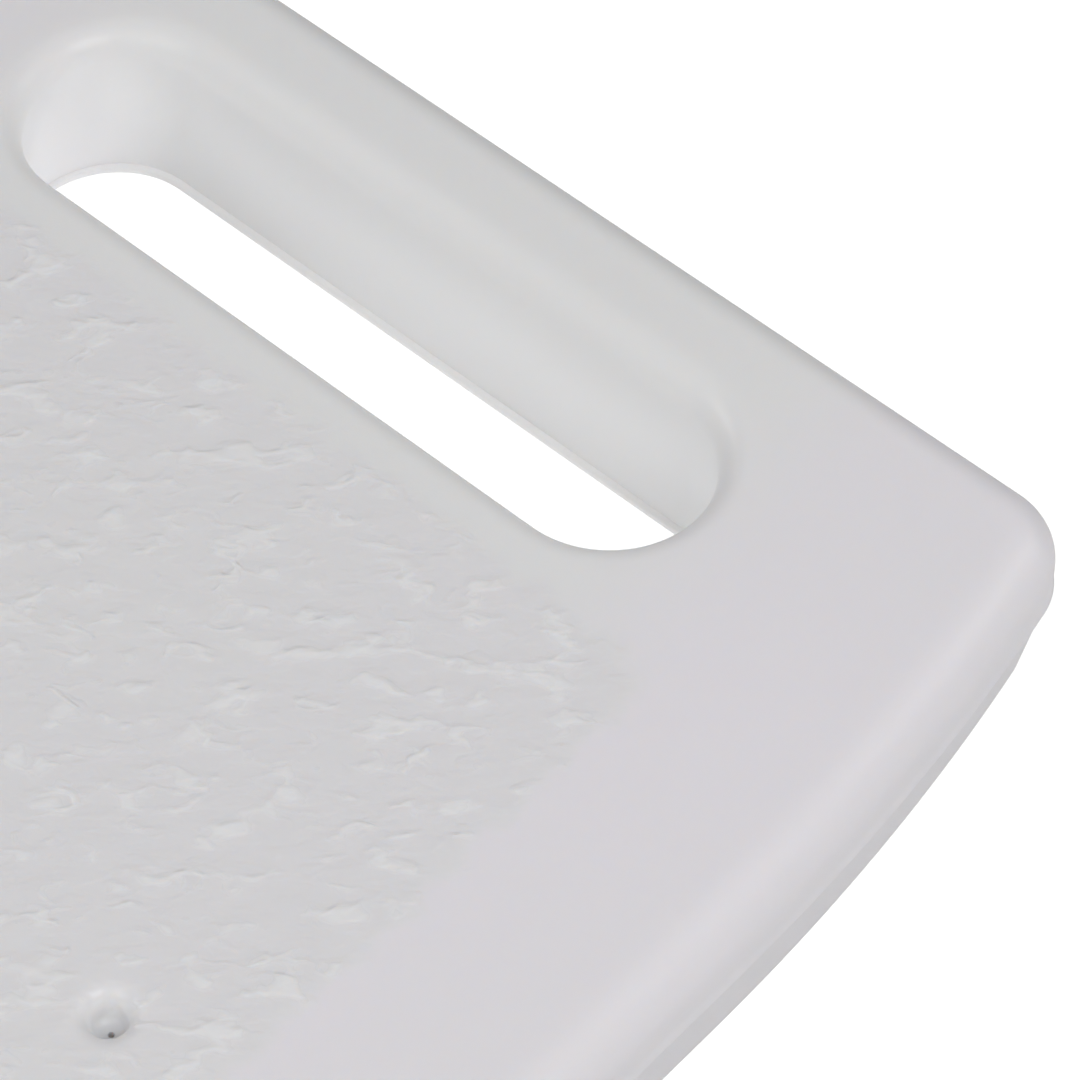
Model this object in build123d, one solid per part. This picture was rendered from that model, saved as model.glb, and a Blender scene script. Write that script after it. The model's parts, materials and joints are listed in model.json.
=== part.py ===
"""Shower stool: a hollow blow-moulded seat on two bent aluminium frames with telescoping legs.

Millimetres, +Z up. The origin is on the floor under the seat's centre. X runs along the seat's
length and Y along its depth. Front is -Y and right is +X. The legs are at their lowest setting.
"""

from build123d import *
from math import atan2, cos, degrees, hypot, radians, sin, sqrt, tan
import os

os.makedirs("parts", exist_ok=True)

# Seat
SEAT_LENGTH = 500.0
SEAT_END_HALF_DEPTH = 120.0
SEAT_TOP_Z = 400.0
SEAT_THICKNESS = 34.0
SEAT_CORNER_RADIUS = 13.3
SEAT_SIDE_RADIUS = 434.0
SEAT_SIDE_ANGLE = 11.0
SEAT_TOP_FILLET = 7.8
PARTING_DEPTH = 13.5
PARTING_STEP = 0.5
LOWER_SHELL_INSET = 7.4
SEAT_WALL = 3.2
SEAT_EDGE_WALL = 4.0
SEAT_BOTTOM_Z = SEAT_TOP_Z - SEAT_THICKNESS
PARTING_Z = SEAT_TOP_Z - PARTING_DEPTH

# Hand-hold slots: the walls lean, so a slot's foot lies nearer to the seat's middle than its mouth
SLOT_INSET = 39.2
SLOT_LEAN = 3.4
SLOT_HALF_WIDTH = 17.2
SLOT_HALF_STRAIGHT = 55.2
SLOT_FILLET = 5.9
SLOT_WALL = 4.0

# Drain holes, stiffening grooves and vent of the seat
DRAIN_X = (-84.0, 0.0, 84.0)
DRAIN_Y = (-69.0, 69.0)
DRAIN_RADIUS = 2.8
DRAIN_FUNNEL = 3.4
DRAIN_WALL = 3.4
GROOVE_Y = (-36.0, 0.0, 36.0)
GROOVE_LENGTH = 150.0
GROOVE_WIDTH = 12.0
GROOVE_DEPTH = 9.0
VENT_RADIUS = 3.0
VENT_Y = -95.0

# Legs
OUTER_TUBE_RADIUS = 14.3
OUTER_TUBE_WALL = 1.3
INNER_TUBE_RADIUS = 11.1
INNER_TUBE_WALL = 1.2
OUTER_BORE = OUTER_TUBE_RADIUS - OUTER_TUBE_WALL
INNER_BORE = INNER_TUBE_RADIUS - INNER_TUBE_WALL
FRAME_X = 110.0
FRAME_CORNER_Y = 110.0
BEND_RADIUS = 55.0
TILT_X = 14.0
SPLAY_Y = 9.0
SADDLE_GAP = 4.0
FRAME_Z = SEAT_BOTTOM_Z - SADDLE_GAP - OUTER_TUBE_RADIUS
LEG_DROP = cos(radians(SPLAY_Y)) * cos(radians(TILT_X))
LEG_LENGTH = FRAME_Z / LEG_DROP
BEND_TANGENT = BEND_RADIUS * tan(radians(90.0 - SPLAY_Y) / 2.0)

# Height setting: distances are measured down the leg from the corner of the bent frame
HEIGHT_STEPS = 6
HEIGHT_PITCH = 25.0
EXTENSION_TOP = BEND_TANGENT + 9.0
BUTTON_AT = EXTENSION_TOP + 16.0
LAST_HOLE_AT = BUTTON_AT + HEIGHT_STEPS * HEIGHT_PITCH
COLLAR_AT = LAST_HOLE_AT + 18.0
COLLAR_HALF_LENGTH = 12.0
OUTER_END = COLLAR_AT + COLLAR_HALF_LENGTH + 5.0
CLEARANCE = 0.05

# Snap buttons
BUTTON_RADIUS = 4.5
BUTTON_PROUD = 3.0
BUTTON_FLANGE_RADIUS = 5.8
BUTTON_FLANGE_BACK = 6.4
BUTTON_FLANGE_FRONT = 7.6
BUTTON_HOLE_RADIUS = BUTTON_RADIUS + 0.1
SPRING_THICKNESS = 0.8
SPRING_WIDTH = 6.0

# Bushes and glide caps
BUSH_LENGTH = 20.0
BUSH_FLANGE_RADIUS = 15.6
BUSH_FLANGE_THICKNESS = 3.0
CAP_FLANGE_THICKNESS = 5.0
CAP_STEM_LENGTH = 8.0
CAP_HOLE_RADIUS = 4.0

# Feet
FOOT_HEIGHT_UP_LEG = 46.0
FOOT_FLOOR_THICKNESS = 12.0
FOOT_CUP_RADIUS = 15.5
FOOT_CUP_TOP_RADIUS = 14.2
FOOT_BASE_RADIUS = 22.0
FOOT_NECK_RADIUS = 17.0
FOOT_BASE_HEIGHT = 5.0
FOOT_NECK_HEIGHT = 17.0
FOOT_GROOVE_DEPTH = 1.5
FOOT_GROOVES = ((9.0, 12.0), (16.0, 18.5))
WASHER_THICKNESS = 1.5
WASHER_HOLE_RADIUS = 4.0

# Seat fixings
SADDLE_Y = 40.0
SADDLE_LENGTH = 40.0
SADDLE_WIDTH = 40.0
SADDLE_HEIGHT = 17.0
SCREW_RADIUS = 3.0
SCREW_HEAD_RADIUS = 6.0
SCREW_HEAD_HEIGHT = 4.0
SCREW_REACH = 13.0
SCREW_HOLE_RADIUS = 3.2
CURVED_WASHER_SIDE = 18.0
CURVED_WASHER_THICKNESS = 2.5
CURVED_WASHER_RISE = 3.5
INSERT_RADIUS = 4.45
INSERT_LENGTH = 15.0
INSERT_HOLE_DEPTH = 16.0
INSERT_BOSS_RADIUS = 11.0

# Cross brace
BAR_WIDTH = 25.0
BAR_THICKNESS = 3.0
BAR_END_GAP = 22.2
COLLAR_WALL = 4.0
LUG_WIDTH = 33.0
LUG_HEIGHT = 14.0
LUG_REACH = 48.0
LUG_SLOT_REACH = 22.0
BOLT_RADIUS = 2.5
BOLT_HOLE_RADIUS = 2.6
BOLT_REACH = 35.0
BOLT_HEAD_RADIUS = 4.75
BOLT_HEAD_HEIGHT = 2.8
NUT_ACROSS_FLATS = 8.0
NUT_HEIGHT = 4.0
RIVET_HEAD_RADIUS = 5.5
RIVET_HEAD_HEIGHT = 2.6
SET_SCREW_LENGTH = 7.0
SET_BOSS_RADIUS = 6.5
SET_BOSS_HEIGHT = 3.5
SET_SOCKET_RADIUS = 1.4
SET_SOCKET_DEPTH = 2.5

LEGS = {"fl": (-1, -1), "fr": (1, -1), "bl": (-1, 1), "br": (1, 1)}
LOWER_BAR_LEGS = ("fl", "br")
BASE = (Align.CENTER, Align.CENTER, Align.MIN)


def save(shape, node):
    """Writes one node's solids."""
    export_step(shape, f"parts/{node}.step")


def group(shapes):
    """Several separate solids that share one node."""
    return Compound(children=list(shapes))


def cylinder(radius, bottom, top):
    """A cylinder on the Z axis between two heights."""
    return Pos(0, 0, bottom) * Cylinder(radius, top - bottom, align=BASE)


def ring(outer_radius, inner_radius, bottom, top):
    """A ring on the Z axis between two heights."""
    return cylinder(outer_radius, bottom, top) - cylinder(inner_radius, bottom - 1, top + 1)


def outward_cylinder(radius, start, end, at):
    """In a leg's own frame, a cylinder that points outwards, between two distances from the leg's axis."""
    return Pos(start, 0, at) * Rot(0, 90, 0) * Cylinder(radius, end - start, align=BASE)


# ---------------------------------------------------------------- leg frames


def leg_corner(side_x, side_y):
    """Where a leg's centre line meets the line of the frame's top bar."""
    return Vector(side_x * FRAME_X, side_y * FRAME_CORNER_Y, FRAME_Z)


def leg_direction(side_x, side_y):
    """Unit vector down a leg."""
    return Vector(
        side_x * cos(radians(SPLAY_Y)) * sin(radians(TILT_X)),
        side_y * sin(radians(SPLAY_Y)),
        -LEG_DROP,
    )


def leg_place(side_x, side_y):
    """A leg's own frame: Z down the leg from the frame's corner, X away from the seat's middle."""
    down = leg_direction(side_x, side_y)
    along = Vector(side_x, 0, 0)
    outward = along - down * along.dot(down)
    return Plane(leg_corner(side_x, side_y), x_dir=outward.normalized(), z_dir=down).location


def leg_point(side_x, side_y, distance):
    """A point on a leg's centre line."""
    return leg_corner(side_x, side_y) + leg_direction(side_x, side_y) * distance


# ---------------------------------------------------------------- seat


def seat_outline(inset, z):
    """The seat's plan: straight ends, round corners, and long sides that bow out and then run straight."""
    angle = radians(SEAT_SIDE_ANGLE)
    end_x = SEAT_LENGTH / 2 - inset
    corner = SEAT_CORNER_RADIUS - inset
    side = SEAT_SIDE_RADIUS - inset
    corner_x = SEAT_LENGTH / 2 - SEAT_CORNER_RADIUS
    corner_y = SEAT_END_HALF_DEPTH - SEAT_CORNER_RADIUS
    side_x = corner_x + (corner - side) * sin(angle)
    side_y = corner_y + (corner - side) * cos(angle)
    middle = radians(45.0) + angle / 2
    half_turn = angle / 2
    corner_start = (end_x, corner_y)
    corner_middle = (corner_x + corner * cos(middle), corner_y + corner * sin(middle))
    corner_end = (corner_x + corner * sin(angle), corner_y + corner * cos(angle))
    side_middle = (side_x + side * sin(half_turn), side_y + side * cos(half_turn))
    side_end = (side_x, side_y + side)
    quarter = [(corner_start, corner_middle, corner_end), (corner_end, side_middle, side_end)]
    arcs = []
    for sign_x, sign_y in ((1, 1), (-1, 1), (-1, -1), (1, -1)):
        for points in quarter:
            arcs.append(ThreePointArc(*[(sign_x * x, sign_y * y) for x, y in points]))
    ends = [Line((sign * end_x, -corner_y), (sign * end_x, corner_y)) for sign in (-1, 1)]
    sides = [Line((-side_x, sign * (side_y + side)), (side_x, sign * (side_y + side))) for sign in (-1, 1)]
    return Pos(0, 0, z) * make_face(Curve() + arcs + ends + sides)


def slot_solid(side, wall):
    """The leaning space of a hand-hold slot at one end of the seat, or of the slot with its walls."""
    mouth = Rot(0, 0, 90) * SlotCenterToCenter(2 * SLOT_HALF_STRAIGHT, 2 * (SLOT_HALF_WIDTH + wall))
    mouth = Pos(side * (SEAT_LENGTH / 2 - SLOT_INSET), 0, SEAT_TOP_Z) * mouth
    down = Vector(-side * SLOT_LEAN, 0, -SEAT_THICKNESS)
    return extrude(mouth, amount=down.length, dir=down.normalized())


def groove_solid(y, wall):
    """A stiffening groove in the underside, or the groove with its walls."""
    width = GROOVE_WIDTH + 2 * wall
    face = SlotCenterToCenter(GROOVE_LENGTH - GROOVE_WIDTH, width)
    return Pos(0, y, SEAT_BOTTOM_Z) * extrude(face, amount=GROOVE_DEPTH + wall)


def shell_halves(inset, top, bottom):
    """The seat's upper half, with upright sides, and its lower half, drawn in towards the bottom."""
    upper = extrude(seat_outline(inset, PARTING_Z), amount=top - PARTING_Z)
    slope = LOWER_SHELL_INSET / (PARTING_Z - SEAT_BOTTOM_Z)
    foot_inset = inset + PARTING_STEP + slope * (PARTING_Z - bottom)
    lower = loft([seat_outline(foot_inset, bottom), seat_outline(inset + PARTING_STEP, PARTING_Z)], ruled=True)
    return upper, lower


def seat_cavity():
    """The hollow inside the seat, interrupted by every wall and boss that joins its two skins."""
    upper, lower = shell_halves(SEAT_EDGE_WALL, SEAT_TOP_Z - SEAT_WALL, SEAT_BOTTOM_Z + SEAT_WALL)
    hollow = chamfer(upper.edges().group_by(Axis.Z)[-1], 2.5) + lower
    for side in (-1, 1):
        hollow -= slot_solid(side, SLOT_WALL)
    for x in DRAIN_X:
        for y in DRAIN_Y:
            hollow -= Pos(x, y, 0) * cylinder(DRAIN_RADIUS + DRAIN_WALL, SEAT_BOTTOM_Z, SEAT_TOP_Z)
    for y in GROOVE_Y:
        hollow -= groove_solid(y, SEAT_WALL)
    for x, y in fixing_points():
        hollow -= Pos(x, y, 0) * cylinder(INSERT_BOSS_RADIUS, SEAT_BOTTOM_Z, SEAT_TOP_Z)
    return hollow


def fixing_points():
    """The four places where the frames are screwed to the seat."""
    return [(x * FRAME_X, y * SADDLE_Y) for x in (-1, 1) for y in (-1, 1)]


def top_rims(seat):
    """The edges that lie in the seat's top plane."""
    return seat.edges().group_by(Axis.Z)[-1]


def is_drain_rim(edge):
    """Whether an edge is the sharp mouth of a drain hole."""
    return edge.geom_type == GeomType.CIRCLE and abs(edge.radius - DRAIN_RADIUS) < 0.1


def is_slot_rim(edge):
    """Whether an edge belongs to the mouth of a hand-hold slot."""
    middle = edge.center()
    from_slot = abs(abs(middle.X) - (SEAT_LENGTH / 2 - SLOT_INSET))
    return from_slot < SLOT_HALF_WIDTH + 1 and abs(middle.Y) < SEAT_END_HALF_DEPTH - SLOT_HALF_WIDTH


def make_seat():
    """The hollow seat with its slots, drains, grooves, blind holes for the inserts and vent."""
    upper, lower = shell_halves(0.0, SEAT_TOP_Z, SEAT_BOTTOM_Z)
    seat = fillet(upper.edges().group_by(Axis.Z)[-1], SEAT_TOP_FILLET) + lower
    for side in (-1, 1):
        seat -= slot_solid(side, 0.0)
    for x in DRAIN_X:
        for y in DRAIN_Y:
            seat -= Pos(x, y, 0) * cylinder(DRAIN_RADIUS, SEAT_BOTTOM_Z - 1, SEAT_TOP_Z + 1)
    seat = fillet([e for e in top_rims(seat) if is_drain_rim(e)], DRAIN_FUNNEL)
    seat = fillet([e for e in top_rims(seat) if is_slot_rim(e)], SLOT_FILLET)
    for y in GROOVE_Y:
        seat -= groove_solid(y, 0.0)
    seat -= seat_cavity()
    for x, y in fixing_points():
        hole = cylinder(INSERT_RADIUS + CLEARANCE, SEAT_BOTTOM_Z - 1, SEAT_BOTTOM_Z + INSERT_HOLE_DEPTH)
        seat -= Pos(x, y, 0) * hole
    seat -= Pos(0, VENT_Y, 0) * cylinder(VENT_RADIUS, SEAT_BOTTOM_Z - 1, SEAT_BOTTOM_Z + 2 * SEAT_WALL)
    return seat


# ---------------------------------------------------------------- frames


def make_frame(side_x):
    """A bent tube: a bar across the seat's underside and two splayed legs with a row of height holes."""
    back = leg_corner(side_x, 1)
    front = leg_corner(side_x, -1)
    start = leg_point(side_x, 1, OUTER_END)
    end = leg_point(side_x, -1, OUTER_END)
    path = FilletPolyline(start, back, front, end, radius=BEND_RADIUS)
    face = Circle(OUTER_TUBE_RADIUS) - Circle(OUTER_BORE)
    frame = sweep(Plane(start, z_dir=back - start).location * face, path=path)
    for side_y in (-1, 1):
        place = leg_place(side_x, side_y)
        for step in range(HEIGHT_STEPS + 1):
            at = BUTTON_AT + step * HEIGHT_PITCH
            frame -= place * outward_cylinder(BUTTON_HOLE_RADIUS, INNER_BORE, 2 * OUTER_TUBE_RADIUS, at)
        hole = cylinder(SCREW_HOLE_RADIUS, FRAME_Z - 2 * OUTER_TUBE_RADIUS, SEAT_BOTTOM_Z)
        frame -= Pos(side_x * FRAME_X, side_y * SADDLE_Y, 0) * hole
    return frame


def tube_clearance(x):
    """The round space that a frame's top bar takes, along Y."""
    bar = Rot(90, 0, 0) * Cylinder(OUTER_TUBE_RADIUS + CLEARANCE, 4 * FRAME_CORNER_Y)
    return Pos(x, 0, FRAME_Z) * bar


def make_saddle(side_x, side_y):
    """A plastic saddle between a frame's top bar and the seat."""
    block = Box(SADDLE_WIDTH, SADDLE_LENGTH, SADDLE_HEIGHT, align=(Align.CENTER, Align.CENTER, Align.MAX))
    block = fillet(block.edges().filter_by(Axis.Z), 5.0)
    block = chamfer(block.edges().group_by(Axis.Z)[0], 2.0)
    saddle = Pos(side_x * FRAME_X, side_y * SADDLE_Y, SEAT_BOTTOM_Z) * block
    saddle -= tube_clearance(side_x * FRAME_X)
    hole = cylinder(SCREW_HOLE_RADIUS, FRAME_Z, SEAT_BOTTOM_Z + 1)
    return saddle - Pos(side_x * FRAME_X, side_y * SADDLE_Y, 0) * hole


def washer_bottom():
    """Height of the face that the seat screws' heads bear on."""
    return FRAME_Z - OUTER_TUBE_RADIUS - CURVED_WASHER_THICKNESS


def make_curved_washer(x, y):
    """A plastic washer, hollow on top to seat on the tube and flat below for the screw head."""
    height = CURVED_WASHER_THICKNESS + CURVED_WASHER_RISE
    block = Box(CURVED_WASHER_SIDE, CURVED_WASHER_SIDE, height, align=BASE)
    block = fillet(block.edges().filter_by(Axis.Z), 3.0)
    washer = Pos(x, y, washer_bottom()) * block - tube_clearance(x)
    return washer - Pos(x, y, 0) * cylinder(SCREW_HOLE_RADIUS, washer_bottom() - 1, FRAME_Z)


def make_seat_screw(x, y):
    """A pan-head machine screw with a cross recess, pointing up."""
    head = cylinder(SCREW_HEAD_RADIUS, washer_bottom() - SCREW_HEAD_HEIGHT, washer_bottom())
    head = fillet(head.edges().group_by(Axis.Z)[0], 2.0)
    shank = cylinder(SCREW_RADIUS, washer_bottom(), SEAT_BOTTOM_Z + SCREW_REACH)
    recess = Box(6.0, 1.2, 2.0, align=BASE) + Box(1.2, 6.0, 2.0, align=BASE)
    screw = head + shank - Pos(0, 0, washer_bottom() - SCREW_HEAD_HEIGHT) * recess
    return Pos(x, y, 0) * screw


def make_insert(x, y):
    """A threaded brass insert with two grooves that key it into the plastic."""
    body = ring(INSERT_RADIUS, SCREW_RADIUS + CLEARANCE, SEAT_BOTTOM_Z, SEAT_BOTTOM_Z + INSERT_LENGTH)
    for at in (4.0, 9.0):
        body -= ring(2 * INSERT_RADIUS, INSERT_RADIUS - 0.5, SEAT_BOTTOM_Z + at, SEAT_BOTTOM_Z + at + 2.0)
    return Pos(x, y, 0) * body


# ---------------------------------------------------------------- cross brace


def bar_offset(leg):
    """Height of the middle of the bar that a leg's collar holds, from the plane between the two bars."""
    return -BAR_THICKNESS / 2 if leg in LOWER_BAR_LEGS else BAR_THICKNESS / 2


def lug_place(side_x, side_y, height):
    """A level frame on a leg's centre line at the collar, with X away from the stool's middle."""
    point = leg_point(side_x, side_y, COLLAR_AT)
    turn = degrees(atan2(point.Y, point.X))
    return Location((point.X, point.Y, point.Z + height), (0, 0, turn))


def make_collar(leg):
    """A plastic collar round a leg, with a boss for its set screw and a slotted lug for a brace bar."""
    side_x, side_y = LEGS[leg]
    place = leg_place(side_x, side_y)
    low, high = COLLAR_AT - COLLAR_HALF_LENGTH, COLLAR_AT + COLLAR_HALF_LENGTH
    body = cylinder(OUTER_TUBE_RADIUS + COLLAR_WALL, low, high)
    body = fillet(body.edges().filter_by(GeomType.CIRCLE), 1.2)
    reach = OUTER_TUBE_RADIUS + COLLAR_WALL + SET_BOSS_HEIGHT
    body += outward_cylinder(SET_BOSS_RADIUS, OUTER_TUBE_RADIUS, reach, COLLAR_AT)
    lug = Box(LUG_REACH, LUG_WIDTH, LUG_HEIGHT, align=(Align.MAX, Align.CENTER, Align.CENTER))
    lug = fillet(lug.edges().filter_by(Axis.Z).group_by(Axis.X)[0], 6.0)
    level = lug_place(side_x, side_y, bar_offset(leg))
    collar = place * body + level * lug
    collar -= place * cylinder(OUTER_TUBE_RADIUS + CLEARANCE, low - 20, high + 20)
    slot = Box(LUG_REACH, BAR_WIDTH + 0.2, BAR_THICKNESS + 0.1, align=(Align.MAX, Align.CENTER, Align.CENTER))
    collar -= level * Pos(-LUG_SLOT_REACH, 0, 0) * slot
    collar -= level * Pos(-BOLT_REACH, 0, 0) * Cylinder(BOLT_HOLE_RADIUS, 2 * LUG_HEIGHT)
    return collar - place * outward_cylinder(BOLT_HOLE_RADIUS, OUTER_TUBE_RADIUS - 1, 2 * reach, COLLAR_AT)


def make_set_screw(leg):
    """A socket set screw that bears on the tube."""
    start = OUTER_TUBE_RADIUS + 0.02
    screw = outward_cylinder(BOLT_RADIUS, start, start + SET_SCREW_LENGTH, COLLAR_AT)
    end = start + SET_SCREW_LENGTH
    screw -= outward_cylinder(SET_SOCKET_RADIUS, end - SET_SOCKET_DEPTH, end + 1, COLLAR_AT)
    return leg_place(*LEGS[leg]) * screw


def make_brace_bar(legs):
    """A flat bar from one leg's collar to the collar at the opposite corner."""
    side_x, side_y = LEGS[legs[1]]
    point = leg_point(side_x, side_y, COLLAR_AT)
    half = hypot(point.X, point.Y) - BAR_END_GAP
    bar = Box(2 * half, BAR_WIDTH, BAR_THICKNESS)
    bar = fillet(bar.edges().filter_by(Axis.Z), 3.0)
    bar -= Cylinder(BOLT_HOLE_RADIUS, 2 * BAR_THICKNESS)
    for sign in (-1, 1):
        bar -= Pos(sign * (half + BAR_END_GAP - BOLT_REACH), 0, 0) * Cylinder(BOLT_HOLE_RADIUS, 2 * BAR_THICKNESS)
    turn = degrees(atan2(point.Y, point.X))
    return Location((0, 0, point.Z + bar_offset(legs[1])), (0, 0, turn)) * bar


def make_rivet():
    """The domed rivet where the two bars cross."""
    z = leg_point(1, 1, COLLAR_AT).Z
    rivet = cylinder(BOLT_RADIUS, z - BAR_THICKNESS, z + BAR_THICKNESS)
    head = cylinder(RIVET_HEAD_RADIUS, 0, RIVET_HEAD_HEIGHT)
    head = fillet(head.edges().group_by(Axis.Z)[-1], 2.2)
    rivet += Pos(0, 0, z + BAR_THICKNESS) * head
    return rivet + Pos(0, 0, z - BAR_THICKNESS) * Rot(180, 0, 0) * head


def make_brace_bolt(leg):
    """A button-head bolt down through a lug and the end of its bar."""
    top = LUG_HEIGHT / 2
    head = cylinder(BOLT_HEAD_RADIUS, top, top + BOLT_HEAD_HEIGHT)
    head = fillet(head.edges().group_by(Axis.Z)[-1], 2.0)
    head -= cylinder(SET_SOCKET_RADIUS, top + BOLT_HEAD_HEIGHT - 1.8, top + BOLT_HEAD_HEIGHT + 1)
    shank = cylinder(BOLT_RADIUS, -top - NUT_HEIGHT - 1.5, top)
    level = lug_place(*LEGS[leg], bar_offset(leg))
    return level * Pos(-BOLT_REACH, 0, 0) * (head + shank)


def make_brace_nut(leg):
    """A hexagon nut under a lug."""
    circumradius = NUT_ACROSS_FLATS / sqrt(3)
    nut = extrude(RegularPolygon(circumradius, 6), amount=NUT_HEIGHT)
    nut -= cylinder(BOLT_RADIUS + CLEARANCE, -1, NUT_HEIGHT + 1)
    level = lug_place(*LEGS[leg], bar_offset(leg))
    return level * Pos(-BOLT_REACH, 0, -LUG_HEIGHT / 2 - NUT_HEIGHT) * nut


# ---------------------------------------------------------------- telescoping legs


def make_bush(leg):
    """The plastic bush in the lower end of a frame's leg, with a collar that covers the tube's end."""
    sleeve = cylinder(OUTER_BORE - CLEARANCE, OUTER_END - BUSH_LENGTH, OUTER_END)
    flange = cylinder(BUSH_FLANGE_RADIUS, OUTER_END, OUTER_END + BUSH_FLANGE_THICKNESS)
    flange = fillet(flange.edges().group_by(Axis.Z)[-1], 1.5)
    bore = cylinder(INNER_TUBE_RADIUS + CLEARANCE, OUTER_END - BUSH_LENGTH - 1, OUTER_END + 10)
    return leg_place(*LEGS[leg]) * (sleeve + flange - bore)


def extension_end():
    """Where an inner tube ends, on the washer in its foot."""
    return LEG_LENGTH - FOOT_FLOOR_THICKNESS - WASHER_THICKNESS


def make_extension(leg):
    """An inner leg tube with the hole for its snap button."""
    tube = ring(INNER_TUBE_RADIUS, INNER_BORE, EXTENSION_TOP, extension_end())
    tube -= outward_cylinder(BUTTON_HOLE_RADIUS, BUTTON_RADIUS, 2 * INNER_TUBE_RADIUS, BUTTON_AT)
    return leg_place(*LEGS[leg]) * tube


def make_glide_cap(leg):
    """The plastic cap in an inner tube's top end, which keeps it central in the outer tube."""
    cap = cylinder(OUTER_BORE - 2 * CLEARANCE, EXTENSION_TOP - CAP_FLANGE_THICKNESS, EXTENSION_TOP)
    cap = chamfer(cap.edges().group_by(Axis.Z)[0], 1.0)
    cap += cylinder(INNER_BORE - CLEARANCE, EXTENSION_TOP, EXTENSION_TOP + CAP_STEM_LENGTH)
    cap -= cylinder(CAP_HOLE_RADIUS, 0, EXTENSION_TOP + 2 * CAP_STEM_LENGTH)
    return leg_place(*LEGS[leg]) * cap


def make_button(leg):
    """A snap button: a round head that passes both tubes, and a flange that stops it inside."""
    tip = OUTER_TUBE_RADIUS + BUTTON_PROUD
    head = cylinder(BUTTON_RADIUS, BUTTON_FLANGE_FRONT, tip)
    head = fillet(head.edges().group_by(Axis.Z)[-1], 2.0)
    button = head + cylinder(BUTTON_FLANGE_RADIUS, BUTTON_FLANGE_BACK, BUTTON_FLANGE_FRONT)
    return leg_place(*LEGS[leg]) * Pos(0, 0, BUTTON_AT) * Rot(0, 90, 0) * button


def make_spring(leg):
    """A V-shaped leaf spring: one arm carries the button, and the other bears on the far wall."""
    front = BUTTON_FLANGE_BACK - SPRING_THICKNESS / 2
    back = 1.5 * SPRING_THICKNESS - sqrt(INNER_BORE**2 - (SPRING_WIDTH / 2) ** 2)
    points = (
        (front, 0, BUTTON_AT - 5.5),
        (front, 0, BUTTON_AT + 9.0),
        (0.0, 0, BUTTON_AT + 38.0),
        (back, 0, BUTTON_AT + 9.0),
        (back, 0, BUTTON_AT - 2.0),
    )
    path = FilletPolyline(*points, radius=(6.0, 1.5, 6.0))
    start = Plane(points[0], x_dir=(1, 0, 0), z_dir=(0, 0, 1)).location
    strip = sweep(start * Rectangle(SPRING_THICKNESS, SPRING_WIDTH), path=path)
    return leg_place(*LEGS[leg]) * strip


def make_foot_washer(leg):
    """The steel washer between an inner tube's end and its rubber foot."""
    top = extension_end()
    washer = ring(INNER_TUBE_RADIUS - 0.2, WASHER_HOLE_RADIUS, top, top + WASHER_THICKNESS)
    return leg_place(*LEGS[leg]) * washer


def make_foot(leg):
    """A rubber foot: a cup in line with the leg, on a flared base that stands level on the floor."""
    place = leg_place(*LEGS[leg])
    top = LEG_LENGTH - FOOT_HEIGHT_UP_LEG
    floor = leg_point(*LEGS[leg], LEG_LENGTH)
    cup = Pos(0, 0, top) * Cone(FOOT_CUP_TOP_RADIUS, FOOT_CUP_RADIUS, FOOT_HEIGHT_UP_LEG / 2, align=BASE)
    cup += cylinder(FOOT_CUP_RADIUS, top + FOOT_HEIGHT_UP_LEG / 2, LEG_LENGTH + FOOT_CUP_RADIUS)
    neck = Cone(FOOT_BASE_RADIUS, FOOT_NECK_RADIUS, FOOT_NECK_HEIGHT - FOOT_BASE_HEIGHT, align=BASE)
    base = cylinder(FOOT_BASE_RADIUS, 0, FOOT_BASE_HEIGHT) + Pos(0, 0, FOOT_BASE_HEIGHT) * neck
    below = Box(200, 200, 100, align=(Align.CENTER, Align.CENTER, Align.MAX))
    foot = place * cup + Location(floor) * base - Location(floor) * below
    bore = cylinder(INNER_TUBE_RADIUS + CLEARANCE, top - 1, LEG_LENGTH - FOOT_FLOOR_THICKNESS)
    foot -= place * bore
    for inner, outer in FOOT_GROOVES:
        foot -= Location(floor) * ring(outer, inner, -1, FOOT_GROOVE_DEPTH)
    return foot


# ---------------------------------------------------------------- the whole stool

save(make_seat(), "seat")
save(make_frame(-1), "frame_tube_left")
save(make_frame(1), "frame_tube_right")
save(group(make_curved_washer(x, y) for x, y in fixing_points()), "seat_washers")
save(group(make_seat_screw(x, y) for x, y in fixing_points()), "seat_screws")
save(group(make_insert(x, y) for x, y in fixing_points()), "seat_inserts")
save(make_brace_bar(LOWER_BAR_LEGS), "brace_lower")
save(make_brace_bar(("bl", "fr")), "brace_upper")
save(make_rivet(), "brace_rivet")
save(group(make_brace_bolt(leg) for leg in LEGS), "brace_bolts")
save(group(make_brace_nut(leg) for leg in LEGS), "brace_nuts")
save(group(make_set_screw(leg) for leg in LEGS), "collar_screws")
for leg, sides in LEGS.items():
    save(make_saddle(*sides), f"saddle_{leg}")
    save(make_collar(leg), f"brace_collar_{leg}")
    save(make_bush(leg), f"leg_bush_{leg}")
    save(make_extension(leg), f"leg_extension_{leg}")
    save(make_glide_cap(leg), f"glide_cap_{leg}")
    save(make_spring(leg), f"snap_spring_{leg}")
    save(make_button(leg), f"snap_button_{leg}")
    save(make_foot(leg), f"foot_{leg}")
    save(make_foot_washer(leg), f"foot_washer_{leg}")
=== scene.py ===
"""The looks of a shower stool: its moulded seat, the finishes of all parts, and the studio.

Metres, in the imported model's frame: X runs along the seat, Y along its depth, Z up.
"""

import json
import logging
import math
from collections.abc import Sequence
from dataclasses import dataclass, field
from enum import Enum

import bmesh
import bpy
from mathutils import Matrix, Vector, noise


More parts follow.
